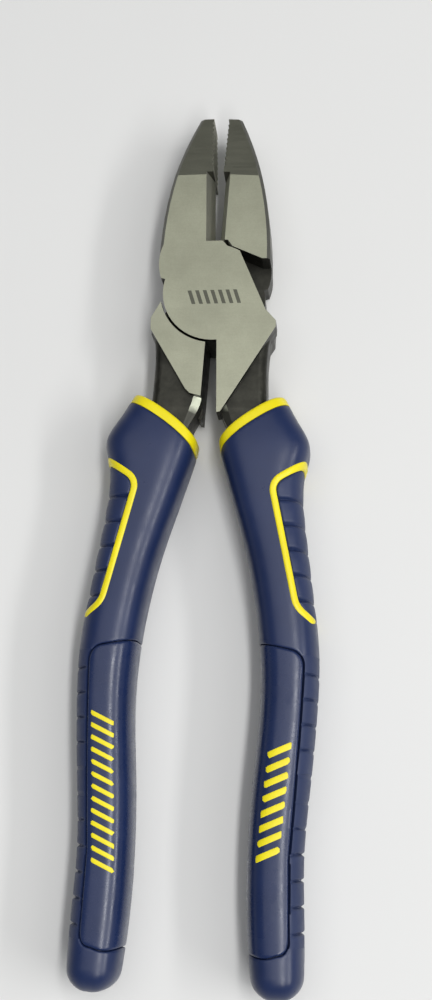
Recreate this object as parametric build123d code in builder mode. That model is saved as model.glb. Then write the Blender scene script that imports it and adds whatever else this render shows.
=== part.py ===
"""Lineman pliers, 240 mm long: two identical forged halves lapped on a flush rivet, each with a
grip moulded in several shots.

Frame: the origin is on the pivot axis in the plane of the head's back face. +Y runs to the nose,
+Z from the back face to the front face, +X to the handle of the front half. Each half is drawn in
the closed position and then opened to the rest position. The left half is the right half turned
over about the tool's long axis.
"""

import os
from math import cos, radians, sin

from build123d import *

# Head
HEAD_THICK = 16.0
MID = HEAD_THICK / 2
LAP_GAP = 0.08  # between the two lapped plates
NOSE_Y = 53.0
NOSE_WIDTH = 3.9  # of one jaw at its tip
NOSE_HALF_THICK = 5.5
TAPER_START_Y = 35.0
JAW_SPLIT = 0.05  # from the closed jaws' faces to the middle plane
DISC_R = 13.95
RECESS_R = 14.65
STOP_ANGLE = 163.1  # where the shoulder stands round the disc, degrees from +X
SHOULDER_R = 15.15
HORN_ANGLE = -14.0  # the horn that the other half's shoulder meets when fully open
SLOT_HALF = 1.0  # from the middle plane to the inner edge below the disc
JAW_CHAMFER = 0.9

# Knife and serrations
KNIFE_TOP_Y = 35.9
KNIFE_FACE_X = 2.0  # the bevel's edge on the ground faces
PLATE_TOP_Y = 15.0
TOOTH_PITCH = 1.5
TOOTH_DEPTH = 0.45
TOOTH_COUNT = 10
TOOTH_START_Y = 38.2

# Shank and tang
SHANK_DROP = 1.8  # of the forged shank below the ground faces
SHANK_ROUND = 2.2
SHANK_FACET = 2.2  # the flat facet along the shank's inner edges
SHANK_FACET_DEPTH = 0.8
TANG_HALF_THICK = 4.6
TANG_END_Y = -176.0

# Rivet
RIVET_R = 4.0
RIVET_HEAD_R = 5.6
RIVET_HEAD_DEPTH = 2.0
PIVOT_CLEARANCE = 0.05

# Grip
REST_OPEN = 2.2  # each half, from closed
CORE_WALL = 1.2
CORE_MOUTH_HALF = 7.7
GRIP_END_Y = -187.2
GRIP_CORNER = 6.8
GRIP_END_ROUND = 5.5
COLLAR_BAND = 2.8
PAD_DEPTH = 1.8
PANEL_DEPTH = 1.5
MARK_DEPTH = 0.4
GROOVE_DEPTH = 0.6
GROOVE_WIDTH = 0.8
ACCENT_WIDTH = 1.75
ACCENT_CORNERS = [(31.0, -45.6), (15.9, -54.9), (22.3, -88.4), (26.4, -91.6)]
ACCENT_RADII = (4.2, 6.0)
SEAM_GAP = 0.2
FINGER_GROOVES = [-59.5 - 6.75 * i for i in range(5)]
RIB_GROOVES = [-105.8 - 6.48 * i for i in range(11)]
MARK_WIDTH = 6.3
MARK_SLANT = 1.3  # how far each bar drops from its middle to its end
# how many bars each handle's row has, how thick they are, and the row's two ends when closed
MARK_ROWS = {"right": (8, 1.9, (18.0, -123.5), (14.4, -153.1)),
             "left": (13, 1.35, (19.1, -117.2), (15.2, -157.3))}
REST_PLACE = {"right": Location((0, 0, 0), (0, 0, REST_OPEN)),
              "left": Location((0, 0, HEAD_THICK), (0, 180, REST_OPEN))}
FAR = 60.0  # past every face

# Grip sections down the handle: y, inner edge, outer edge, half depth
GRIP_SECTIONS = [
    (-24.0, 0.8, 16.6, 8.8),
    (-31.0, 0.8, 20.3, 9.3),
    (-37.0, 0.9, 23.3, 9.9),
    (-43.3, 1.5, 26.1, 10.5),
    (-50.0, 3.0, 24.8, 10.6),
    (-58.0, 5.0, 24.2, 10.5),
    (-72.0, 8.5, 25.4, 10.4),
    (-86.0, 11.0, 26.9, 10.5),
    (-99.0, 12.3, 28.0, 10.5),
    (-116.0, 12.2, 27.3, 10.4),
    (-134.0, 10.3, 25.4, 10.2),
    (-152.0, 9.0, 23.6, 10.0),
    (-170.0, 8.9, 23.5, 9.8),
    (GRIP_END_Y, 10.2, 23.0, 9.4),
]

# Closed-position outline points of the right handle's tang, mouth to end
TANG_OUTER = [(15.0, -40.0), (18.8, -60.0), (22.3, -80.0), (24.0, -100.0), (23.4, -120.0),
              (20.6, -145.0), (19.9, -165.0), (19.2, TANG_END_Y)]
TANG_INNER = [(12.7, TANG_END_Y), (12.4, -165.0), (12.9, -145.0), (15.5, -120.0),
              (15.7, -100.0), (13.4, -80.0), (8.7, -60.0), (5.2, -44.0), (4.0, -38.5)]
SLEEVE_OUTER = [(x + CORE_WALL, y) for x, y in TANG_OUTER[:-1]]
SLEEVE_OUTER.append((TANG_OUTER[-1][0] + CORE_WALL, TANG_END_Y - CORE_WALL))
SLEEVE_INNER = [(TANG_INNER[0][0] - CORE_WALL, TANG_END_Y - CORE_WALL)]
SLEEVE_INNER += [(x - CORE_WALL, y) for x, y in TANG_INNER[1:]]


def on_circle(radius, angle):
    """The point of a circle about the pivot at an angle in degrees from +X."""
    return (radius * cos(radians(angle)), radius * sin(radians(angle)))


def jaw_edge():
    """The jaw's outer edge, from the nose down to the shoulder."""
    ThreePointArc((-NOSE_WIDTH, NOSE_Y), (-12.6, 28.7), (-15.0, 10.6))


# ---------------------------------------------------------------- forged half, closed position

with BuildSketch(Plane.XY.offset(MID + LAP_GAP / 2)) as front_plate:
    with BuildLine():
        Line((-JAW_SPLIT, PLATE_TOP_Y), (-JAW_SPLIT, NOSE_Y))
        Line((-JAW_SPLIT, NOSE_Y), (-NOSE_WIDTH, NOSE_Y))
        jaw_edge()
        ThreePointArc((-15.0, 10.6), (-15.1, 7.4), on_circle(SHOULDER_R, STOP_ANGLE))
        Line(on_circle(SHOULDER_R, STOP_ANGLE), on_circle(DISC_R, STOP_ANGLE))
        ThreePointArc(on_circle(DISC_R, STOP_ANGLE), on_circle(DISC_R, 220),
                      (SLOT_HALF, -(DISC_R**2 - SLOT_HALF**2) ** 0.5))
        Polyline((SLOT_HALF, -(DISC_R**2 - SLOT_HALF**2) ** 0.5), (SLOT_HALF, -34.6),
                 (2.0, -34.4), (17.2, -10.6), (17.3, -8.8), (14.4, -5.4), on_circle(DISC_R, 58))
        ThreePointArc(on_circle(DISC_R, 58), on_circle(DISC_R, 66), on_circle(DISC_R, 73.5))
        Polyline(on_circle(DISC_R, 73.5), (2.6, PLATE_TOP_Y), (-JAW_SPLIT, PLATE_TOP_Y))
    make_face()

with BuildSketch() as back_jaw:
    with BuildLine():
        Polyline((-15.0, 10.6), (-12.8, 10.45), (-4.3, 13.65), (-2.9, 15.45), (-JAW_SPLIT, 15.45),
                 (-JAW_SPLIT, NOSE_Y), (-NOSE_WIDTH, NOSE_Y))
        jaw_edge()
    make_face()

with BuildSketch() as back_shoulder:
    with BuildLine():
        ThreePointArc((SLOT_HALF, -(RECESS_R**2 - SLOT_HALF**2) ** 0.5), on_circle(RECESS_R, -50),
                      on_circle(RECESS_R, HORN_ANGLE))
        Polyline(on_circle(RECESS_R, HORN_ANGLE), (16.6, -8.4), (16.4, -11.6), (5.4, -28.2),
                 (4.1, -29.4), (SLOT_HALF, -30.0),
                 (SLOT_HALF, -(RECESS_R**2 - SLOT_HALF**2) ** 0.5))
    make_face()

with BuildSketch(Plane.XY.offset(SHANK_DROP)) as shank_outline:
    with BuildLine():
        ThreePointArc((SLOT_HALF, -(RECESS_R**2 - SLOT_HALF**2) ** 0.5), on_circle(RECESS_R, -60),
                      on_circle(RECESS_R, -38))
        Line(on_circle(RECESS_R, -38), (16.3, -10.8))
        Spline((16.3, -10.8), (15.0, -16.5), (14.6, -23.0), (14.6, -30.0), *TANG_OUTER)
        Line(TANG_OUTER[-1], TANG_INNER[0])
        Spline(*TANG_INNER, (2.2, -34.6), (SLOT_HALF, -30.5))
        Line((SLOT_HALF, -30.5), (SLOT_HALF, -(RECESS_R**2 - SLOT_HALF**2) ** 0.5))
    make_face()

with BuildSketch(Plane.YZ.offset(-FAR)) as shank_side:
    with BuildLine():
        Polyline((0, MID + MID - SHANK_DROP), (-33.0, MID + MID - SHANK_DROP),
                 (-62.0, MID + TANG_HALF_THICK), (-FAR * 4, MID + TANG_HALF_THICK),
                 (-FAR * 4, MID - TANG_HALF_THICK), (-62.0, MID - TANG_HALF_THICK),
                 (-33.0, SHANK_DROP), (0, SHANK_DROP), close=True)
    make_face()

with BuildPart() as shank:
    add(shank_outline.sketch)
    extrude(amount=HEAD_THICK - 2 * SHANK_DROP)
    long_edges = shank.edges().filter_by(GeomType.BSPLINE)
    fillet(long_edges.sort_by(Axis.X)[-2:], SHANK_ROUND)
    for face_side in (0, -1):
        broad_face = shank.faces().filter_by(Axis.Z).sort_by(Axis.Z)[face_side]
        inner_edge = broad_face.edges().filter_by(GeomType.BSPLINE).sort_by(Axis.X)[0]
        chamfer(inner_edge, SHANK_FACET, SHANK_FACET_DEPTH, reference=broad_face)
    extrude(shank_side.sketch, amount=2 * FAR, mode=Mode.INTERSECT)

with BuildPart() as half:
    add(front_plate.sketch)
    extrude(amount=MID - LAP_GAP / 2)
    extrude(back_jaw.sketch, amount=MID + LAP_GAP / 2)
    extrude(back_shoulder.sketch, amount=MID + LAP_GAP / 2)
    add(shank.part)
    # nose faces taper to the tip
    with BuildSketch(Plane.YZ.offset(-FAR)):
        for face, tip in ((HEAD_THICK, MID + NOSE_HALF_THICK), (0, MID - NOSE_HALF_THICK)):
            with BuildLine():
                Polyline((TAPER_START_Y, face), (NOSE_Y + 1, tip), (NOSE_Y + 1, face), close=True)
            make_face()
    extrude(amount=2 * FAR, mode=Mode.SUBTRACT)
    curved = half.edges().filter_by(GeomType.LINE, reverse=True)
    chamfer(curved.filter_by(lambda e: e.center().X < -5 and e.center().Y > 15
                             and abs(e.center().Z - MID) > 3), JAW_CHAMFER)
    # knife bevels meet at the middle plane
    with BuildSketch(Plane.XZ.offset(-KNIFE_TOP_Y)):
        for face in (HEAD_THICK, 0):
            with BuildLine():
                Polyline((-KNIFE_FACE_X, face), (-JAW_SPLIT, MID), (1, MID), (1, face), close=True)
            make_face()
    extrude(amount=KNIFE_TOP_Y - PLATE_TOP_Y, mode=Mode.SUBTRACT)
    # gripping teeth across the jaw face
    with BuildSketch():
        for i in range(TOOTH_COUNT):
            y = TOOTH_START_Y + i * TOOTH_PITCH
            with BuildLine():
                Polyline((0, y - TOOTH_PITCH / 2), (-JAW_SPLIT - TOOTH_DEPTH, y),
                         (0, y + TOOTH_PITCH / 2), close=True)
            make_face()
    extrude(amount=HEAD_THICK, mode=Mode.SUBTRACT)


def pivot_profile(gap):
    """The rivet's half section with its countersunk heads, grown by a gap."""
    radius = RIVET_R + gap
    head = RIVET_HEAD_R + gap
    with BuildSketch(Plane.XZ) as section:
        with BuildLine():
            Polyline((0, 0), (head, 0), (radius, RIVET_HEAD_DEPTH),
                     (radius, HEAD_THICK - RIVET_HEAD_DEPTH), (head, HEAD_THICK), (0, HEAD_THICK),
                     close=True)
        make_face()
    return section.sketch


# ---------------------------------------------------------------- grip mouldings, closed position


def grip_envelope(inset):
    """The grip's whole outer shape, shrunk all round by an inset."""
    with BuildPart() as envelope:
        for y, inner, outer, half_depth in GRIP_SECTIONS:
            with BuildSketch(Plane.XZ.offset(-y)):
                with Locations(((inner + outer) / 2, MID)):
                    RectangleRounded(outer - inner - 2 * inset, 2 * (half_depth - inset),
                                     min(GRIP_CORNER, (outer - inner) * 0.44) - inset)
        loft()
        end = envelope.faces().sort_by(Axis.Y)[0]
        fillet(end.edges(), GRIP_END_ROUND - inset)
    return envelope.part


def through(sketch):
    """A sketch in the plane of the tool, extruded right through the grip."""
    return extrude(sketch, amount=2 * FAR, dir=(0, 0, 1), mode=Mode.PRIVATE)


LOW = Plane.XY.offset(-FAR)

with BuildSketch(LOW) as below_mouth:
    with BuildLine():
        ThreePointArc((1.2, -41.4), (9.0, -35.4), (20.0, -29.4))
        Polyline((20.0, -29.4), (FAR, -20.0), (FAR, -4 * FAR), (-FAR, -4 * FAR), (-FAR, -44.2),
                 (0.2, -43.2), (1.2, -41.4))
    make_face()

with BuildSketch(LOW) as below_collar:
    with Locations((COLLAR_BAND * 0.45, -COLLAR_BAND * 0.89)):
        add(below_mouth.sketch)

with BuildSketch(LOW) as accent_outline:
    with BuildLine():
        FilletPolyline(*ACCENT_CORNERS, radius=ACCENT_RADII)
    trace(line_width=ACCENT_WIDTH)
    with Locations(ACCENT_CORNERS[-1]):
        Circle(ACCENT_WIDTH / 2)

with BuildSketch(LOW) as pad_outline:
    with BuildLine():
        FilletPolyline(*ACCENT_CORNERS, radius=ACCENT_RADII)
        Polyline(ACCENT_CORNERS[-1], (32.0, -93.4), ACCENT_CORNERS[0])
    make_face()
    add(accent_outline.sketch, mode=Mode.SUBTRACT)


def panel_seam(gap):
    """The palm panel's outline, shrunk by a gap."""
    with BuildSketch(LOW) as outline:
        with BuildLine():
            Polyline((-4.0, -174.0 + gap), (-4.0, -93.6 - gap), (20.6 - gap, -99.4 - gap))
            TangentArc((20.6 - gap, -99.4 - gap), (24.3 - gap, -104.4), tangent=(1, -0.18))
            ThreePointArc((24.3 - gap, -104.4), (22.5 - gap, -128.0), (20.2 - gap, -152.0))
            Line((20.2 - gap, -152.0), (20.0 - gap, -171.6))
            TangentArc((20.0 - gap, -171.6), (16.6, -176.0 + gap), tangent=(0, -1))
            ThreePointArc((16.6, -176.0 + gap), (12.0, -176.6 + gap), (7.6, -174.7 + gap))
            Line((7.6, -174.7 + gap), (-4.0, -174.0 + gap))
        make_face()
    return outline.sketch


with BuildSketch(LOW) as strip_bed_outline:
    with Locations((25.0, -137.6)):
        RectangleRounded(22.0, 73.0, 3.0)

with BuildSketch(LOW) as strip_outline:
    add(strip_bed_outline.sketch)
    add(panel_seam(-SEAM_GAP), mode=Mode.SUBTRACT)

with BuildSketch(LOW) as groove_outline:
    for groove_y in FINGER_GROOVES + RIB_GROOVES:
        with Locations((28.0, groove_y)):
            Rectangle(22.0, GROOVE_WIDTH)

envelope = grip_envelope(0)
under_pad = grip_envelope(PAD_DEPTH)
under_panel = grip_envelope(PANEL_DEPTH)
under_groove = grip_envelope(GROOVE_DEPTH)
under_mark = grip_envelope(MARK_DEPTH)


def skin(sketch, floor):
    """The layer of the grip between its outer surface and an inner one, within an outline."""
    with BuildPart() as layer:
        add(envelope)
        add(through(sketch), mode=Mode.INTERSECT)
        add(floor, mode=Mode.SUBTRACT)
    return layer.part


grooves = skin(groove_outline.sketch, under_groove)

with BuildPart() as sleeve_block:
    with BuildSketch():
        with BuildLine():
            Line((14.6 + CORE_WALL, -26.0), SLEEVE_OUTER[0])
            Spline(*SLEEVE_OUTER)
            Line(SLEEVE_OUTER[-1], SLEEVE_INNER[0])
            Spline(*SLEEVE_INNER)
            Polyline(SLEEVE_INNER[-1], (4.0 - CORE_WALL, -26.0), (14.6 + CORE_WALL, -26.0))
        make_face()
    extrude(amount=HEAD_THICK)
    with BuildSketch(Plane.YZ.offset(-FAR)):
        with BuildLine():
            Polyline((0, MID + CORE_MOUTH_HALF), (-36.0, MID + CORE_MOUTH_HALF),
                     (-62.0, MID + TANG_HALF_THICK + CORE_WALL),
                     (-FAR * 4, MID + TANG_HALF_THICK + CORE_WALL),
                     (-FAR * 4, MID - TANG_HALF_THICK - CORE_WALL),
                     (-62.0, MID - TANG_HALF_THICK - CORE_WALL),
                     (-36.0, MID - CORE_MOUTH_HALF), (0, MID - CORE_MOUTH_HALF), close=True)
        make_face()
    extrude(amount=2 * FAR, mode=Mode.INTERSECT)
    add(through(below_mouth.sketch), mode=Mode.INTERSECT)

with BuildPart() as grip_core:
    add(envelope)
    add(through(below_mouth.sketch), mode=Mode.INTERSECT)
    add(through(below_collar.sketch), mode=Mode.SUBTRACT)
    add(sleeve_block.part)
    add(half.part, mode=Mode.SUBTRACT)

with BuildPart() as finger_pad:
    add(skin(pad_outline.sketch, under_pad))
    add(grooves, mode=Mode.SUBTRACT)

with BuildPart() as rib_strip:
    add(skin(strip_outline.sketch, under_panel))
    add(grooves, mode=Mode.SUBTRACT)

with BuildPart() as grip_shell:
    add(envelope)
    add(through(below_collar.sketch), mode=Mode.INTERSECT)
    add(sleeve_block.part, mode=Mode.SUBTRACT)
    add(half.part, mode=Mode.SUBTRACT)
    for bed, floor in ((pad_outline, under_pad), (accent_outline, under_pad),
                       (strip_bed_outline, under_panel)):
        add(skin(bed.sketch, floor), mode=Mode.SUBTRACT)
    add(skin(panel_seam(0), under_panel), mode=Mode.SUBTRACT)


def mark_outline(count, thick, top, bottom):
    """A row of slanted bars between two points of the handle's face."""
    step_x = (bottom[0] - top[0]) / count
    step_y = (bottom[1] - top[1]) / count
    half_bar = thick / 2
    half_width = MARK_WIDTH / 2
    with BuildSketch(LOW) as bars:
        for i in range(count):
            with Locations((top[0] + step_x * (i + 0.5), top[1] + step_y * (i + 0.5))):
                Polygon((-half_width, -MARK_SLANT - half_bar), (half_width, MARK_SLANT - half_bar),
                        (half_width, MARK_SLANT + half_bar), (-half_width, -MARK_SLANT + half_bar))
    return bars.sketch


# ---------------------------------------------------------------- both halves in the rest position


def at_rest(shape, side):
    """A closed-position shape of the right half, opened, and turned over for the left half."""
    with BuildPart() as placed:
        with Locations(REST_PLACE[side]):
            add(shape)
    return placed.part


pieces = {}

# the rivet is tight in the front plate, and the back one turns round it
with BuildPart() as front_lever:
    add(at_rest(half.part, "right"))
    add(pivot_profile(0))
    revolve(axis=Axis.Z, mode=Mode.SUBTRACT)
pieces["front_lever"] = front_lever.part

with BuildPart() as back_lever:
    add(at_rest(half.part, "left"))
    add(pivot_profile(PIVOT_CLEARANCE))
    revolve(axis=Axis.Z, mode=Mode.SUBTRACT)
pieces["back_lever"] = back_lever.part

with BuildPart() as pivot_rivet:
    add(pivot_profile(0))
    revolve(axis=Axis.Z)
pieces["pivot_rivet"] = pivot_rivet.part

for side, mark_row in MARK_ROWS.items():
    bars = mark_outline(*mark_row)
    with BuildPart() as palm_panel:
        add(skin(panel_seam(SEAM_GAP), under_panel))
        add(skin(bars, under_mark), mode=Mode.SUBTRACT)
    pieces[f"{side}_grip_core"] = at_rest(grip_core.part, side)
    pieces[f"{side}_grip_shell"] = at_rest(grip_shell.part, side)
    pieces[f"{side}_finger_pad"] = at_rest(finger_pad.part, side)
    pieces[f"{side}_accent_band"] = at_rest(skin(accent_outline.sketch, under_pad), side)
    pieces[f"{side}_palm_panel"] = at_rest(palm_panel.part, side)
    pieces[f"{side}_rib_strip"] = at_rest(rib_strip.part, side)
    pieces[f"{side}_panel_marks"] = at_rest(skin(bars, under_mark), side)

os.makedirs("parts", exist_ok=True)
for name, piece in pieces.items():
    piece.label = name
    export_step(piece, f"parts/{name}.step")
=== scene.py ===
"""The looks of the lineman pliers: forged steel halves and multi-shot grips, round the CAD frame.

Lengths below are in millimetres in the frame of the closed tool, like the CAD's, and a mesh is
turned to the rest position and scaled to metres as it is made.
"""

from math import atan2, cos, log, pi, radians, sin, sqrt

import bmesh
import bpy
import numpy as np
from mathutils import Matrix, Vector


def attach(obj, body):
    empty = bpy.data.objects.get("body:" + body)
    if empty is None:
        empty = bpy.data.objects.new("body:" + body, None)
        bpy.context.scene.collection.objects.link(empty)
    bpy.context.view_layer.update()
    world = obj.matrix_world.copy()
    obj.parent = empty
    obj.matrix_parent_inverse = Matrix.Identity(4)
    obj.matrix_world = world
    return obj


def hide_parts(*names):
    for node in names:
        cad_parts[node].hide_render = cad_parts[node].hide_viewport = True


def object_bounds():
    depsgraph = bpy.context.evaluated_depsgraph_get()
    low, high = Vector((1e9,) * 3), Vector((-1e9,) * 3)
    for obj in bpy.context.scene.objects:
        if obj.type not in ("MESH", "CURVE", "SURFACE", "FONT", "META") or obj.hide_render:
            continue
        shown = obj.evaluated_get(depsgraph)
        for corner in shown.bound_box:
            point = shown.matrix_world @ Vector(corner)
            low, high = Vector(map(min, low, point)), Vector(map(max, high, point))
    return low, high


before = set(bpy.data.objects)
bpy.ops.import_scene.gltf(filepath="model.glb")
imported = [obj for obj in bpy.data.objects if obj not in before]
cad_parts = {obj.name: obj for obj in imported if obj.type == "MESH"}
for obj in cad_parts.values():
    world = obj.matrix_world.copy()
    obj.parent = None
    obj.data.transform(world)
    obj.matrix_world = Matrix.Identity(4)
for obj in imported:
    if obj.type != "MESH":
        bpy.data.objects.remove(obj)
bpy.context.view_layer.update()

MM = 0.001
REST_OPEN = radians(2.2)
HEAD_THICK = 16.0
MID = HEAD_THICK / 2

# ------------------------------------------------------------------ grip surface

END_Y = -187.0
END_ROUND = 5.6
END_CROWN = 0.35  # how far the end's flat middle bulges
CORNER = 6.8
CORNER_SHARE = 0.44  # the largest corner radius as a share of the width
TOP_Y = -25.0
# y, inner edge, outer edge, half depth, down the handle
SECTIONS = np.array([
    (-24.0, 0.8, 16.6, 8.8), (-31.0, 0.8, 20.3, 9.3), (-37.0, 0.9, 23.3, 9.9),
    (-43.3, 1.5, 26.1, 10.5), (-50.0, 3.0, 24.8, 10.6), (-58.0, 5.0, 24.2, 10.5),
    (-72.0, 8.5, 25.4, 10.4), (-86.0, 11.0, 26.9, 10.5), (-99.0, 12.3, 28.0, 10.5),
    (-116.0, 12.2, 27.3, 10.4), (-134.0, 10.3, 25.4, 10.2), (-152.0, 9.0, 23.6, 10.0),
    (-170.0, 8.9, 23.5, 9.8), (-188.0, 10.2, 23.0, 9.4)])
AROUND = 84  # points round a section
ROW_STEP = 0.8
CAP_ROWS = 9
SNAP = 0.015  # a point this near a cut line is taken to be on it


def spline_through(xs, ys):
    """A natural cubic spline, as a function of x. xs rise."""
    h = np.diff(xs)
    n = len(xs)
    system, right = np.eye(n), np.zeros(n)
    for i in range(1, n - 1):
        system[i, i - 1:i + 2] = h[i - 1], 2 * (h[i - 1] + h[i]), h[i]
        right[i] = 6 * ((ys[i + 1] - ys[i]) / h[i] - (ys[i] - ys[i - 1]) / h[i - 1])
    bend = np.linalg.solve(system, right)

    def value(x):
        i = np.clip(np.searchsorted(xs, x) - 1, 0, n - 2)
        a, b = xs[i + 1] - x, x - xs[i]
        return ((bend[i] * a**3 + bend[i + 1] * b**3) / (6 * h[i])
                + (ys[i] / h[i] - bend[i] * h[i] / 6) * a
                + (ys[i + 1] / h[i] - bend[i + 1] * h[i] / 6) * b)
    return value


inner_edge, outer_edge, half_depth = (
    spline_through(SECTIONS[::-1, 0], SECTIONS[::-1, k]) for k in (1, 2, 3))


def section(y, inset=0.0):
    """A round-cornered section of the grip at one y, evenly spaced points from the outer side."""
    inner, outer = inner_edge(y), outer_edge(y)
    a, b = (outer - inner) / 2 - inset, half_depth(y) - inset
    r = max(min(CORNER, (outer - inner) * CORNER_SHARE) - inset, 0.3)
    cut = r * (1 - sqrt(0.5))
    power = log(0.5) / log(sqrt((a - cut) / a * (b - cut) / b))
    t = np.linspace(0, pi / 2, 200)
    x, z = a * np.cos(t)**(2 / power), b * np.sin(t)**(2 / power)
    along = np.concatenate(([0], np.cumsum(np.hypot(np.diff(x), np.diff(z)))))
    even = np.linspace(0, along[-1], AROUND // 4 + 1)[:-1]
    qx, qz = np.interp(even, along, x), np.interp(even, along, z)
    mx, mz = np.interp(along[-1] - even, along, x), np.interp(along[-1] - even, along, z)
    xs = np.concatenate((qx, -mx, -qx, mx))
    zs = np.concatenate((qz, mz, -qz, -mz))
    return np.stack((xs + (inner + outer) / 2, np.full(AROUND, y), zs + MID), 1)


def grip_surface(top=TOP_Y, inset=0.0):
    """The grip's surface, or one inside it, as a dense net of points and faces."""
    bottom, turn = END_Y + inset, END_ROUND - inset
    rows = [section(y, inset) for y in np.arange(top, bottom + turn, -ROW_STEP)]
    for i in range(CAP_ROWS + 1):
        t = i / CAP_ROWS * pi / 2
        rows.append(section(bottom + turn * (1 - sin(t)), inset + turn * (1 - cos(t))))
    last = rows[-1]
    middle = last.mean(0)
    for share in (0.75, 0.5, 0.25, 0.05):
        flat = middle + (last - middle) * share
        flat[:, 1] -= END_CROWN * (1 - share**2)
        rows.append(flat)
    points = np.concatenate(rows)
    faces = []
    for r in range(len(rows) - 1):
        for c in range(AROUND):
            d = (c + 1) % AROUND
            faces.append((r * AROUND + c, r * AROUND + d, (r + 1) * AROUND + d, (r + 1) * AROUND + c))
    faces.append(tuple((len(rows) - 1) * AROUND + c for c in range(AROUND)))
    return points, faces


def point_normals(points, faces):
    """Outward normals at the points, from the faces round each."""
    total = np.zeros_like(points)
    for f in faces:
        p = points[list(f)]
        n = np.cross(p[1] - p[0], p[2] - p[0]) + np.cross(p[2] - p[0], p[-1] - p[0])
        for i in f:
            total[i] += n
    return total / np.maximum(np.linalg.norm(total, axis=1, keepdims=True), 1e-12)


class Net:
    """A surface as points, their outward normals, and faces."""

    def __init__(self, points, normals, faces):
        self.points, self.normals, self.faces = points, normals, faces

    def cut(self, field):
        """The same surface with no face crossing field = 0."""
        value = field(self.points)
        value[np.abs(value) < SNAP] = 0
        points, normals, made, faces = list(self.points), list(self.normals), {}, []

        def crossing(i, j):
            key = (min(i, j), max(i, j))
            if key not in made:
                share = value[i] / (value[i] - value[j])
                points.append(self.points[i] + share * (self.points[j] - self.points[i]))
                normal = self.normals[i] + share * (self.normals[j] - self.normals[i])
                normals.append(normal / np.linalg.norm(normal))
                made[key] = len(points) - 1
            return made[key]

        for face in self.faces:
            v = [value[i] for i in face]
            if min(v) >= 0 or max(v) <= 0:
                faces.append(face)
                continue
            loop = []
            for k, i in enumerate(face):
                j = face[(k + 1) % len(face)]
                loop.append((i, value[i]))
                if value[i] * value[j] < 0:
                    loop.append((crossing(i, j), 0))
            # each run of corners above the line is clipped off as a face, and the rest is one more
            first = next(k for k, (i, height) in enumerate(loop) if height <= 0)
            loop = loop[first:] + loop[:first + 1]
            rest, run = [], []
            for i, height in loop:
                if height > 0:
                    run.append(i)
                    continue
                if run:
                    faces.append((rest[-1], *run, i))
                    run = []
                rest.append(i)
            faces.append(tuple(rest[:-1]))
        return Net(np.array(points), np.array(normals), faces)

    def within(self, *fields):
        """The faces whose middles lie where every field is negative."""
        middles = np.array([self.points[list(f)].mean(0) for f in self.faces])
        good = np.all([field(middles) < 0 for field in fields], axis=0)
        faces = [f for f, g in zip(self.faces, good) if g]
        used = sorted({i for f in faces for i in f})
        place = {old: new for new, old in enumerate(used)}
        return Net(self.points[used], self.normals[used],
                   [tuple(place[i] for i in f) for f in faces])

    def solid(self, depth, raised):
        """A closed moulding: the surface raised by a height, walls, and an inner side below it."""
        lift, drop = (np.broadcast_to(h(self.points) if callable(h) else h, len(self.points))
                      for h in (raised, depth))
        count = len(self.points)
        points = np.concatenate((self.points + self.normals * lift[:, None],
                                 self.points - self.normals * drop[:, None]))
        faces = list(self.faces) + [tuple(i + count for i in reversed(f)) for f in self.faces]
        directed = {(f[k], f[(k + 1) % len(f)]) for f in self.faces for k in range(len(f))}
        faces += [(j, i, i + count, j + count) for i, j in directed if (j, i) not in directed]
        return points, faces


def segments_distance(points, line):
    """How far points are from an open line of 2-D points, in the plane of the tool."""
    p = points[:, None, :2]
    a, b = np.array(line[:-1])[None], np.array(line[1:])[None]
    along = b - a
    t = np.clip(((p - a) * along).sum(2) / np.maximum((along**2).sum(2), 1e-12), 0, 1)
    return np.sqrt(((p - a - t[..., None] * along)**2).sum(2)).min(1)


def band(line, width):
    """Negative within half a width of a line."""
    return lambda points: segments_distance(points, line) - width / 2


def region(outline):
    """Negative inside a closed outline, and the distance to it either way."""
    closed = np.array(list(outline) + [outline[0]])

    def field(points):
        x, y = points[:, None, 0], points[:, None, 1]
        ax, ay, bx, by = closed[:-1, 0], closed[:-1, 1], closed[1:, 0], closed[1:, 1]
        spans = (ay > y) != (by > y)
        rise = np.where(by == ay, 1, by - ay)
        crossed = spans & (x < ax + (y - ay) / rise * (bx - ax))
        return segments_distance(points, closed) * np.where(crossed.sum(1) % 2, -1, 1)
    return field


def grown(field, amount):
    """A field whose area reaches further out by an amount."""
    return lambda points: field(points) - amount


def outside(field):
    """A field that is negative where another is positive."""
    return lambda points: -field(points)


def arc(a, m, b, count=24):
    """Points on the circle through three points, from the first to the last."""
    a, m, b = (complex(*p) for p in (a, m, b))
    w = (m - a) / (b - a)
    centre = a + (b - a) * (w - abs(w)**2) / (2j * w.imag)
    start, middle, end = (atan2((p - centre).imag, (p - centre).real) for p in (a, m, b))
    turn = (end - start) % (2 * pi)
    if (middle - start) % (2 * pi) > turn:
        turn -= 2 * pi
    radius = abs(a - centre)
    return [(centre.real + radius * cos(start + turn * i / count),
             centre.imag + radius * sin(start + turn * i / count)) for i in range(count + 1)]


def bend(a, corner, b, count=10):
    """A round corner between two points, from a quadratic curve."""
    a, corner, b = (np.array(p) for p in (a, corner, b))
    t = np.linspace(0, 1, count + 1)[:, None]
    return [tuple(p) for p in (1 - t)**2 * a + 2 * t * (1 - t) * corner + t**2 * b]


def filleted(corners, radii):
    """An open line with its inner corners rounded."""
    line = [corners[0]]
    for before, corner, after, radius in zip(corners, corners[1:], corners[2:], radii):
        p, a, b = (np.array(q, float) for q in (corner, before, after))
        u, v = (a - p) / np.linalg.norm(a - p), (b - p) / np.linalg.norm(b - p)
        half = np.arccos(np.clip(u @ v, -1, 1)) / 2
        reach = radius / np.tan(half)
        middle = p + (u + v) / np.linalg.norm(u + v) * (radius / sin(half) - radius)
        line += arc(tuple(p + u * reach), tuple(middle), tuple(p + v * reach), 12)
    return line + [corners[-1]]


# ------------------------------------------------------------------ outlines on the grip

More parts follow.
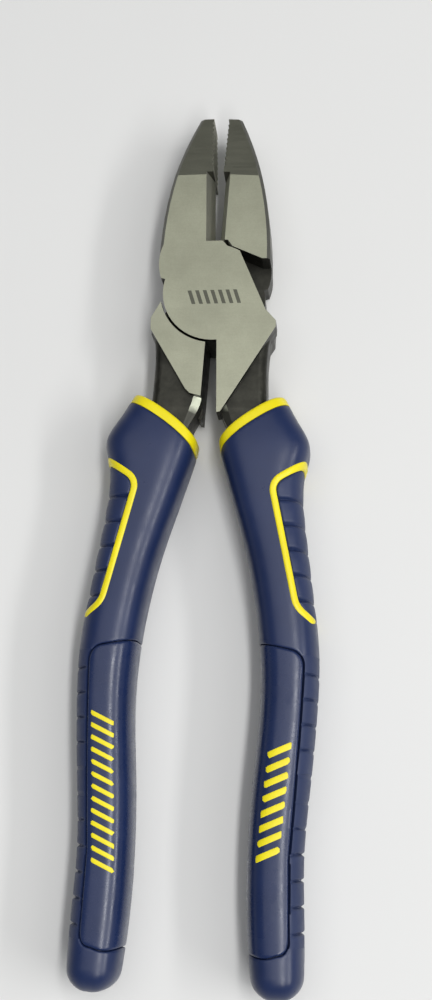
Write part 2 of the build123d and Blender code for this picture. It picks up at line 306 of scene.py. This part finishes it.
FAR = 60.0
COLLAR_BAND = 2.8
ACCENT_WIDTH = 1.75
SEAM = 0.17
# where along x the grooves are level, and how gently they bend away from there
GROOVE_MIDDLE = 24.0
GROOVE_FLATNESS = 10.0
FINGER_GROOVES = [-59.5 - 6.75 * i for i in range(5)]
RIB_GROOVES = [-105.8 - 6.48 * i for i in range(11)]

mouth_line = arc((1.2, -41.4), (9.0, -35.4), (20.0, -29.4))
below_mouth = region(mouth_line + [(FAR, -20.0), (FAR, -4 * FAR), (-FAR, -4 * FAR), (-FAR, -44.2),
                                   (0.2, -43.2)])


def below_collar(points):
    """Negative below the collar's lower edge."""
    return below_mouth(points - np.array((COLLAR_BAND * 0.45, -COLLAR_BAND * 0.89, 0)))


accent_line = filleted([(31.0, -45.6), (15.9, -54.9), (22.3, -88.4), (26.4, -91.6)], (4.2, 6.0))
accent = band(accent_line, ACCENT_WIDTH)
pad_area = region(accent_line + [(32.0, -93.4)])
panel_area = region([(-4.0, -174.0), (-4.0, -93.6)]
                    + bend((20.6, -99.4), (24.4, -100.2), (24.3, -104.4))
                    + arc((24.3, -104.4), (22.5, -128.0), (20.2, -152.0))
                    + bend((20.0, -171.6), (20.0, -176.0), (16.6, -176.0))
                    + arc((16.6, -176.0), (12.0, -176.6), (7.6, -174.7)))
strip_bed = region(bend((14.0, -104.1), (14.0, -101.1), (17.0, -101.1)) + [(36.0, -101.1)]
                   + [(36.0, -174.1)] + bend((17.0, -174.1), (14.0, -174.1), (14.0, -171.1)))


def groove_distance(points, grooves, dip):
    """The distance down the handle to the nearest groove, each sagging a little to the outside."""
    bent = points[:, 1] + dip * (points[:, 0] - GROOVE_MIDDLE)**2 / GROOVE_FLATNESS
    return np.abs(bent[:, None] - np.array(grooves)[None]).min(1)


def rounding(field, radius):
    """How much lower a moulding's surface is near the edge of its area than inside it."""
    def drop(points):
        near = np.clip(radius + field(points), 0, radius)
        return -(radius - np.sqrt(np.maximum(radius**2 - near**2, 0)))
    return drop


def with_rims(net, field, radius):
    """The net cut at an area's edge and along a few lines inside it, so that the rim is round."""
    for share in (0, 0.1, 0.35, 1.0):
        net = net.cut(grown(field, -radius * share))
    return net


# ------------------------------------------------------------------ objects


def to_rest(points, side):
    """Closed-tool points, opened to rest, turned over for the left half, in metres."""
    turn = np.array(((cos(REST_OPEN), -sin(REST_OPEN), 0), (sin(REST_OPEN), cos(REST_OPEN), 0),
                     (0, 0, 1)))
    moved = points @ turn.T
    if side == "left":
        moved = moved * (-1, 1, -1) + (0, 0, HEAD_THICK)
    return moved * MM


BODY_OF = {"right": "front_half", "left": "back_half"}
SHARP = radians(38)


def piece(side, name, solid, material, slot, node):
    """A moulding that stands for a CAD node and rides on its half."""
    points, faces = solid
    mesh = bpy.data.meshes.new(f"{side}_{name}")
    mesh.from_pydata([tuple(p) for p in to_rest(points, side)], [], faces)
    mesh.validate()
    mesh.materials.append(material)
    mesh.shade_smooth()
    mesh.set_sharp_from_angle(angle=SHARP)
    made = bpy.data.objects.new(f"{side}_{name}", mesh)
    bpy.context.scene.collection.objects.link(made)
    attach(made, BODY_OF[side])
    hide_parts(f"{side}_{node}")


# ------------------------------------------------------------------ materials


class Nodes:
    """A short way to build a material's nodes."""

    def __init__(self, name):
        self.material = bpy.data.materials.new(name)
        self.material.use_nodes = True
        self.tree = self.material.node_tree
        self.tree.nodes.clear()
        self.shader = self.node("ShaderNodeBsdfPrincipled")
        output = self.node("ShaderNodeOutputMaterial")
        self.link(self.shader.outputs[0], output.inputs[0])
        self.place = self.node("ShaderNodeTexCoord").outputs["Object"]

    def node(self, kind, **settings):
        made = self.tree.nodes.new(kind)
        for key, value in settings.items():
            setattr(made, key, value)
        return made

    def link(self, source, target):
        self.tree.links.new(source, target)

    def stretched(self, scale):
        """The object's coordinates, scaled along each axis."""
        mapping = self.node("ShaderNodeMapping")
        mapping.inputs["Scale"].default_value = scale
        self.link(self.place, mapping.inputs["Vector"])
        return mapping.outputs[0]

    def noise(self, scale, detail=3, roughness=0.55, stretch=None):
        texture = self.node("ShaderNodeTexNoise")
        texture.inputs["Scale"].default_value = scale
        texture.inputs["Detail"].default_value = detail
        texture.inputs["Roughness"].default_value = roughness
        self.link(self.stretched(stretch) if stretch else self.place, texture.inputs["Vector"])
        return texture.outputs["Fac"]

    def ramp(self, source, low, high):
        """Black to white between two values of the source."""
        ramp = self.node("ShaderNodeValToRGB")
        for element, position in zip(ramp.color_ramp.elements, (low, high)):
            element.position = position
        self.link(source, ramp.inputs[0])
        return ramp.outputs[0]

    def fill(self, socket, value):
        """A link where the value is a node's output, and otherwise a number or an opaque colour."""
        if isinstance(value, bpy.types.NodeSocket):
            self.link(value, socket)
        else:
            socket.default_value = (*value, 1) if hasattr(value, "__len__") else value

    def mix(self, share, first, second):
        """A colour between two, by a share of the second."""
        mix = self.node("ShaderNodeMix", data_type="RGBA")
        for socket, value in zip((mix.inputs[0], mix.inputs[6], mix.inputs[7]),
                                 (share, first, second)):
            self.fill(socket, value)
        return mix.outputs[2]

    def math(self, operation, *values):
        made = self.node("ShaderNodeMath", operation=operation)
        for value, socket in zip(values, made.inputs):
            self.fill(socket, value)
        return made.outputs[0]

    def span(self, source, low, high, to_low, to_high):
        """A range of a value carried over to another range."""
        span = self.node("ShaderNodeMapRange")
        for index, value in enumerate((low, high, to_low, to_high)):
            span.inputs[index + 1].default_value = value
        self.link(source, span.inputs[0])
        return span.outputs[0]

    def bump(self, *layers):
        """Bumps of (height, strength, distance in mm), one over another."""
        normal = None
        for height, strength, distance in layers:
            bump = self.node("ShaderNodeBump")
            bump.inputs["Strength"].default_value = strength
            bump.inputs["Distance"].default_value = distance * MM
            self.link(height, bump.inputs["Height"])
            if normal:
                self.link(normal, bump.inputs["Normal"])
            normal = bump.outputs[0]
        self.link(normal, self.shader.inputs["Normal"])

    def set(self, **values):
        """Values or links for the shader's sockets, by name."""
        for name, value in values.items():
            self.fill(self.shader.inputs[name.replace("_", " ")], value)


def plastic(name, colour, rough, grain, grain_mm):
    """Moulded plastic or rubber: a fine grain, slight mottling and rubbed patches."""
    m = Nodes(name)
    dark = tuple(c * 0.82 for c in colour)
    pale = tuple(min(1, c * 1.12 + 0.004) for c in colour)
    m.set(Base_Color=m.mix(m.noise(90, 4), dark, pale), Specular_IOR_Level=0.42)
    m.set(Roughness=m.span(m.noise(260, 5, 0.65), 0.3, 0.7, rough - 0.07, rough + 0.08))
    m.bump((m.noise(1 / (grain_mm * MM), 2), grain, 0.05), (m.noise(300, 3), 0.12, 0.1))
    return m.material


FACE_BAND = 0.3  # how near the ground faces their material starts
HIGHLIGHT_FADE_SPAN = (-34.0, -32.2)  # where the painted highlight on the facet fades to black again, along y
OXIDE_TINT = (0.05, 0.05, 0.043)
ETCH_PLACE = (0.4, -1.5, 0)
ETCH_TINT = (0.055, 0.055, 0.048)
ETCH_PITCH = 2.1
ETCH_HALF_LENGTH = 3.25 * ETCH_PITCH
ETCH_HALF_HEIGHT = 2.0
ETCH_SLANT = 0.3


def etched_bars(m):
    """One inside a short row of slanted bars on the disc's front face, nought elsewhere."""
    turned = m.node("ShaderNodeMapping")
    turned.vector_type = "TEXTURE"
    turned.inputs["Location"].default_value = [c * MM for c in ETCH_PLACE]
    turned.inputs["Rotation"].default_value = (0, 0, REST_OPEN)
    turned.inputs["Scale"].default_value = (MM, MM, MM)
    m.link(m.place, turned.inputs["Vector"])
    split = m.node("ShaderNodeSeparateXYZ")
    m.link(turned.outputs[0], split.inputs[0])
    x, y, z = split.outputs

    def below(value, limit):
        return m.math("LESS_THAN", value, limit)
    along = m.math("ADD", x, m.math("MULTIPLY", y, ETCH_SLANT))
    step = m.math("DIVIDE", m.math("ADD", along, ETCH_HALF_LENGTH), ETCH_PITCH)
    bar = below(m.math("FRACT", step), 0.5)
    inside = m.math("MULTIPLY", below(m.math("ABSOLUTE", along), ETCH_HALF_LENGTH),
                    below(m.math("ABSOLUTE", y), ETCH_HALF_HEIGHT))
    front = m.math("GREATER_THAN", z, HEAD_THICK - FACE_BAND)
    return m.math("MULTIPLY", m.math("MULTIPLY", bar, inside), front)


def ground_steel(name, along, colour, rough=0.38, etched=False, painted_highlight=False):
    """Ground steel: fine grinding lines, a fine speckle, faint stains and rubbed patches, and where
    asked a painted highlight that fades to black towards the grip.
    """
    m = Nodes(name)
    lines = m.noise(1.0, 2, 0.5, along)
    speckle = m.noise(2600, 2, 0.6)
    stains = m.ramp(m.noise(75, 5, 0.6), 0.3, 0.7)
    dark, pale = tuple(c * 0.87 for c in colour), tuple(min(1, c * 1.07) for c in colour)
    base = m.mix(stains, dark, pale)
    base = m.mix(m.span(speckle, 0.35, 0.65, 0, 0.16), base, tuple(c * 0.6 for c in colour))
    roughness = m.span(lines, 0.3, 0.7, rough - 0.06, rough + 0.07)
    if etched:
        bars = etched_bars(m)
        base = m.mix(m.math("MULTIPLY", bars, 0.75), base, ETCH_TINT)
        roughness = m.math("ADD", roughness, m.math("MULTIPLY", bars, 0.2))
    if painted_highlight:
        # painted highlight: bright beside the head, and black oxide again towards the grip
        split = m.node("ShaderNodeSeparateXYZ")
        m.link(m.place, split.inputs[0])
        uneven = m.span(m.noise(420, 3), 0.3, 0.7, -0.6 * MM, 0.6 * MM)
        down = m.math("ADD", split.outputs[1], uneven)
        base = m.mix(m.span(down, *(y * MM for y in HIGHLIGHT_FADE_SPAN), 1, 0), base, OXIDE_TINT)
    m.set(Metallic=1.0, Base_Color=base, Roughness=roughness)
    m.bump((lines, 0.10, 0.012), (m.noise(650, 3), 0.05, 0.03))
    return m.material


def black_oxide(name):
    """Forged and blackened steel: uneven scale with small pits, oily and fairly dark."""
    m = Nodes(name)
    patches = m.ramp(m.noise(140, 6, 0.62), 0.35, 0.68)
    m.set(Metallic=0.85, Base_Color=m.mix(patches, (0.022, 0.022, 0.018), (0.050, 0.049, 0.040)))
    m.set(Roughness=m.span(m.noise(420, 5, 0.6), 0.3, 0.7, 0.34, 0.52))
    m.bump((m.noise(900, 4, 0.6), 0.22, 0.06), (m.noise(240, 4), 0.2, 0.2))
    return m.material


YELLOW = (0.79, 0.675, 0.004)
navy_shell = plastic("navy_shell", (0.0088, 0.0190, 0.069), 0.34, 0.30, 0.30)
navy_pad = plastic("navy_pad", (0.0100, 0.0210, 0.074), 0.46, 0.42, 0.22)
navy_panel = plastic("navy_panel", (0.0080, 0.0185, 0.069), 0.27, 0.14, 0.35)
navy_strip = plastic("navy_strip", (0.0110, 0.0220, 0.074), 0.50, 0.42, 0.20)
yellow_core = plastic("yellow_core", YELLOW, 0.36, 0.12, 0.30)
yellow_mark = plastic("yellow_mark", YELLOW, 0.42, 0.15, 0.25)
face_steel = ground_steel("face_steel", (90, 5200, 90), (0.335, 0.340, 0.258), etched=True)
# a darker copy of the face steel for the nose facets: painted shade where they tip away from the
# light
shaded_nose_steel = ground_steel("shaded_nose_steel", (90, 5200, 90), (0.240, 0.242, 0.190))
edge_steel = ground_steel("edge_steel", (300, 300, 3600), (0.16, 0.16, 0.14), 0.42)
blade_steel = ground_steel("blade_steel", (300, 300, 3600), (0.50, 0.50, 0.43), 0.60)
# the shank's inner chamfer gets a steel brighter than the faces: a painted highlight that fades out
# towards the grip
highlit_facet_steel = ground_steel("highlit_facet_steel", (300, 300, 3600), (0.43, 0.45, 0.36), 0.52, painted_highlight=True)
oxide = black_oxide("oxide")


# ------------------------------------------------------------------ grips

MARK_WIDTH = 6.3
MARK_SLANT = 1.3
# how many bars, how thick they are, and the row's two ends
MARK_ROWS = {"right": (8, 1.9, (18.0, -123.5), (14.4, -153.1)),
             "left": (13, 1.35, (19.1, -117.2), (15.2, -157.3))}
SLEEVE_INSET = 1.7
SLEEVE_WALL = 1.1
SLEEVE_TOP = -39.5
LIP_ROUND = 0.7
LIP_DEPTH = 3.4
LIP_EXTRA = 2.2  # how much deeper the lip is on its outer side
SHELL_ROUND = 0.45
PANEL_ROUND = 0.6
PAD_ROUND = 0.6
MARK_ROUND = 0.2
SHELL_DEPTH = 1.5
PAD_DEPTH = 1.7
PANEL_DEPTH = 1.4
MARK_DEPTH = 0.4
MARK_RISE = 0.06
ACCENT_RISE = 0.30
ACCENT_SUNK = 0.08
PILLOW_RISE = 0.2
# a groove's depth, and how far from its middle it fades
FINGER_GROOVE = (0.78, 0.42)
RIB_GROOVE = (0.8, 0.34)
RIB_DIP = 0.25
STRIP_SUNK = 0.05


def grooved(net, grooves, dip, reaches):
    """The net cut along lines beside each groove, so that the groove has a round bottom."""
    for reach in reaches:
        net = net.cut(lambda p: groove_distance(p, grooves, dip) - reach)
    return net


def joined(first, second):
    """Two closed shells as one."""
    points = np.concatenate((first[0], second[0]))
    return points, list(first[1]) + [tuple(i + len(first[0]) for i in f) for f in second[1]]


def core_solid(body):
    """The yellow core's lip: thick and round, and thicker on the outer side to meet the shank."""
    lip = with_rims(body, below_mouth, LIP_ROUND).within(below_mouth, outside(below_collar))

    def depth(points):
        return LIP_DEPTH + LIP_EXTRA * np.clip((points[:, 0] - 13.0) / 5.0, 0, 1)
    return lip.solid(depth, rounding(below_mouth, LIP_ROUND))


def shell_solid(body):
    """The main navy moulding, open for the line, the pad, the panel and the strip, on its sleeve."""
    sleeve_points, sleeve_faces = grip_surface(SLEEVE_TOP, SLEEVE_INSET)
    sleeve = Net(sleeve_points, point_normals(sleeve_points, sleeve_faces), sleeve_faces)
    net = body
    for field in (accent, pad_area, strip_bed):
        net = net.cut(field)
    net = with_rims(net, outside(panel_area), SHELL_ROUND)
    net = with_rims(net, below_collar, SHELL_ROUND)
    net = net.within(below_collar, outside(accent), outside(pad_area), outside(panel_area),
                     outside(strip_bed))
    edges = rounding(below_collar, SHELL_ROUND), rounding(outside(panel_area), SHELL_ROUND)
    outer = net.solid(SHELL_DEPTH, lambda p: edges[0](p) + edges[1](p))
    return joined(outer, sleeve.solid(SLEEVE_WALL, 0))


def accent_solid(body):
    """The raised yellow line, round across."""
    net = body.cut(accent).within(grown(accent, 0.6))
    for share in (0.15, 0.4, 0.75):
        net = net.cut(grown(accent, -ACCENT_WIDTH / 2 * share))

    def height(points):
        share = np.clip(-accent(points) / (ACCENT_WIDTH / 2), 0, 1)
        return ACCENT_RISE * np.sqrt(1 - (1 - share)**2) - ACCENT_SUNK
    return net.within(accent).solid(SHELL_DEPTH, height)


def pad_solid(body):
    """The finger pad: pillows between round-bottomed grooves, a little sunk at its edge."""
    def edge(points):
        return np.maximum(pad_area(points), -accent(points))
    net = body.cut(pad_area).cut(accent).within(edge)
    net = grooved(net, FINGER_GROOVES, 0.0, (0.0, 0.18, 0.38, 0.7, 1.2, 2.1))
    net = with_rims(net, edge, PAD_ROUND)

    def height(points):
        away = groove_distance(points, FINGER_GROOVES, 0.0)
        pillow = PILLOW_RISE * (np.clip(away / 3.3, 0, 1)**0.7 - 1)
        deep, reach = FINGER_GROOVE
        return pillow - deep * np.exp(-(away / reach)**2) + rounding(edge, PAD_ROUND)(points)
    return net.solid(PAD_DEPTH, height)


def panel_solid(body):
    """The smooth palm panel, within its seam."""
    edge = grown(panel_area, -SEAM)
    net = with_rims(body, edge, PANEL_ROUND).within(edge)
    return net.solid(PANEL_DEPTH, rounding(edge, PANEL_ROUND))


def strip_solid(body):
    """The rib strip, with thin grooves that sag a little towards the outside."""
    def edge(points):
        return np.maximum(strip_bed(points), SEAM - panel_area(points))
    seam = grown(outside(panel_area), SEAM)
    net = body.cut(strip_bed).within(strip_bed)
    net = grooved(net, RIB_GROOVES, RIB_DIP, (0.0, 0.15, 0.32, 0.6, 1.1, 2.0))
    net = with_rims(net, seam, SHELL_ROUND).within(edge)

    def height(points):
        away = groove_distance(points, RIB_GROOVES, RIB_DIP)
        fade = np.clip(-edge(points) / 1.2, 0.35, 1)
        deep, reach = RIB_GROOVE
        cut = fade * deep * np.exp(-(away / reach)**2)
        return rounding(seam, SHELL_ROUND)(points) - cut - STRIP_SUNK
    return net.solid(PANEL_DEPTH, height)


def marks_solid(body, count, thick, top, bottom):
    """A row of slanted bars inlaid in the front and the back of the panel."""
    step = (np.array(bottom) - np.array(top)) / count
    across = MARK_WIDTH / 2
    corners = np.array(((-across, -MARK_SLANT - thick / 2), (across, MARK_SLANT - thick / 2),
                        (across, MARK_SLANT + thick / 2), (-across, -MARK_SLANT + thick / 2)))
    bars = [region([tuple(c) for c in corners + np.array(top) + step * (i + 0.5)])
            for i in range(count)]

    def edge(points):
        return np.min([bar(points) for bar in bars], axis=0)
    net = with_rims(body.within(grown(edge, 1.5)), edge, MARK_ROUND).within(edge)
    return net.solid(MARK_DEPTH, lambda p: MARK_RISE + rounding(edge, MARK_ROUND)(p))


surface_points, surface_faces = grip_surface()
whole = Net(surface_points, point_normals(surface_points, surface_faces), surface_faces)
body = whole.cut(below_mouth).cut(below_collar)
# name, solid, material, material slot and the node it stands for
mouldings = [
    ("collar_core", core_solid(body), yellow_core, "yellow_core", "grip_core"),
    ("shell", shell_solid(body), navy_shell, "navy_shell", "grip_shell"),
    ("accent_line", accent_solid(body), yellow_core, "yellow_core", "accent_band"),
    ("grooved_pad", pad_solid(body), navy_pad, "navy_pad", "finger_pad"),
    ("smooth_panel", panel_solid(body), navy_panel, "navy_panel", "palm_panel"),
    ("ribbed_strip", strip_solid(body), navy_strip, "navy_strip", "rib_strip"),
]
for side, mark_row in MARK_ROWS.items():
    for moulding in mouldings:
        piece(side, *moulding)
    piece(side, "slanted_bars", marks_solid(body, *mark_row), yellow_mark, "yellow_mark",
          "panel_marks")


# ------------------------------------------------------------------ forged halves and rivet

NOSE_LINE = 34.5
SIDE_LINE = 12.0  # above it the sides are ground, below it they are black
KNIFE_LINE = 14.0
SHANK_LINE = -28.0
EDGE_BEVEL = 0.28
RIVET_ZONE = 6.5


def forging(node):
    """A copy of a CAD half with its flat faces merged and its edges slightly rounded off."""
    made = bmesh.new()
    made.from_mesh(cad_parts[node].data)
    bmesh.ops.remove_doubles(made, verts=made.verts, dist=0.002 * MM)
    bmesh.ops.dissolve_limit(made, angle_limit=radians(1.0), verts=made.verts, edges=made.edges)

    def turn(edge):
        return edge.calc_face_angle(0)

    # the countersink round the rivet stays sharp
    def on_rivet(edge):
        return all(vert.co.xy.length < RIVET_ZONE * MM for vert in edge.verts)

    # the line where the nose facets meet the ground faces stays crisp
    for edge in made.edges:
        flat = all(abs(face.normal.z) > 0.9 for face in edge.link_faces)
        edge.smooth = not (on_rivet(edge) or (flat and turn(edge) > radians(3)))
    keen = [e for e in made.edges
            if e.is_manifold and e.is_convex and turn(e) > radians(24) and not on_rivet(e)]
    bmesh.ops.bevel(made, geom=keen, offset=EDGE_BEVEL * MM, offset_type="OFFSET", segments=2,
                    profile=0.5, affect="EDGES", clamp_overlap=True)
    for edge in made.edges:
        if turn(edge) > radians(36):
            edge.smooth = False
    mesh = bpy.data.meshes.new(node + "_forged")
    made.to_mesh(mesh)
    made.free()
    return mesh


OXIDE, FACE, NOSE, EDGE, BLADE, FACET = range(6)
for node, body_name, inward in (("front_lever", "front_half", 1), ("back_lever", "back_half", -1)):
    mesh = forging(node)
    for material in (oxide, face_steel, shaded_nose_steel, edge_steel, blade_steel, highlit_facet_steel):
        mesh.materials.append(material)
    for face in mesh.polygons:
        x, y, z = face.center / MM
        # the nose facets take the darker steel of the painted shade
        if y > NOSE_LINE and abs(face.normal.z) > 0.9:
            face.material_index = NOSE
        elif abs(z - MID) > MID - FACE_BAND:
            # the bevel strips round the ground faces take the paler blade steel: a painted edge
            # highlight
            face.material_index = FACE if abs(face.normal.z) > 0.93 else BLADE
        elif y > KNIFE_LINE and face.normal.x * inward > 0.5:
            face.material_index = BLADE
        elif y > SIDE_LINE:
            face.material_index = EDGE
        # the shank's inner chamfer, in the brighter steel of the painted highlight
        elif y < SHANK_LINE and 0.15 < abs(face.normal.z) < 0.97 and face.normal.x * inward < -0.1:
            face.material_index = FACET
    lever = bpy.data.objects.new(node + "_forged", mesh)
    bpy.context.scene.collection.objects.link(lever)
    evened = lever.modifiers.new("flat_faces", "WEIGHTED_NORMAL")
    evened.weight = 100
    evened.keep_sharp = True
    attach(lever, body_name)
    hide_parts(node)

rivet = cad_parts["pivot_rivet"]
rivet.data.materials.clear()
rivet.data.materials.append(face_steel)


# ------------------------------------------------------------------ floor, lights and camera


def look_at(place, target, roll=0.0):
    """A rotation that looks from one point to another, with +Y of the tool up, then rolled."""
    forward = (Vector(target) - Vector(place)).normalized()
    right = forward.cross(Vector((0, 1, 0))).normalized()
    up = right.cross(forward)
    image_right = right * cos(roll) + up * sin(roll)
    image_up = up * cos(roll) - right * sin(roll)
    return Matrix((image_right, image_up, -forward)).transposed()


FLOOR_SIZE = 60.0
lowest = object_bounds()[0][2]
bpy.ops.mesh.primitive_plane_add(size=FLOOR_SIZE, location=(0, 0, lowest - 0.2 * MM))
floor = bpy.context.object
floor.name = "floor"
paper = Nodes("paper")
paper.set(Base_Color=paper.mix(paper.noise(6, 3), (0.66, 0.66, 0.65), (0.70, 0.70, 0.69)),
          Roughness=0.85)
floor.data.materials.append(paper.material)


def area_light(name, place, target, size, power):
    """A soft rectangular light aimed at a point."""
    lamp = bpy.data.lights.new(name, "AREA")
    lamp.shape = "RECTANGLE"
    lamp.size, lamp.size_y = size
    lamp.energy = power
    made = bpy.data.objects.new(name, lamp)
    made.matrix_world = look_at(place, target).to_4x4()
    made.location = place
    bpy.context.scene.collection.objects.link(made)


area_light("overhead", (-0.06, 0.10, 1.0), (-0.06, 0.10, 0), (1.0, 0.88), 3.4)
area_light("strip", (0.24, -0.30, 0.86), (0.0, -0.20, 0), (0.08, 0.8), 4.6)
area_light("right_strip", (0.85, -0.25, 0.72), (0.02, -0.12, 0), (0.10, 0.8), 3.4)

sun = bpy.data.lights.new("window", "SUN")
sun.energy = 0.6
sun.angle = radians(35)
window = bpy.data.objects.new("window", sun)
window.matrix_world = look_at((0.9, -0.15, 1.0), (0, 0, 0)).to_4x4()
bpy.context.scene.collection.objects.link(window)

# a studio sweep: pale near the horizon, dim overhead
SKY_HEIGHTS = (0.02, 0.42)
SKY_STRENGTHS = (0.62, 0.15)
SKY_COLOUR = (0.95, 0.97, 1.0, 1)
world = bpy.data.worlds.new("studio")
bpy.context.scene.world = world
world.use_nodes = True
sky = world.node_tree.nodes
heading = sky.new("ShaderNodeTexCoord")
split = sky.new("ShaderNodeSeparateXYZ")
fade = sky.new("ShaderNodeMapRange")
for socket, value in zip(fade.inputs[1:5], SKY_HEIGHTS + SKY_STRENGTHS):
    socket.default_value = value
world.node_tree.links.new(heading.outputs["Generated"], split.inputs[0])
world.node_tree.links.new(split.outputs[2], fade.inputs[0])
world.node_tree.links.new(fade.outputs[0], sky["Background"].inputs["Strength"])
sky["Background"].inputs["Color"].default_value = SKY_COLOUR

# nearly overhead, from a little towards the handles' ends
CAMERA_PLACE = Vector((41.80, -151.60, 415.35)) * MM
CAMERA_TARGET = Vector((2.573, -57.117, 8.0)) * MM
CAMERA_ROLL = radians(2.505)
lens = bpy.data.cameras.new("camera")
lens.sensor_fit = "VERTICAL"
lens.sensor_height = 36
lens.lens = 55.54
lens.clip_start = 0.01
camera = bpy.data.objects.new("camera", lens)
camera.matrix_world = look_at(CAMERA_PLACE, CAMERA_TARGET, CAMERA_ROLL).to_4x4()
camera.location = CAMERA_PLACE
bpy.context.scene.collection.objects.link(camera)
bpy.context.scene.camera = camera
bpy.context.scene.view_settings.view_transform = "Standard"
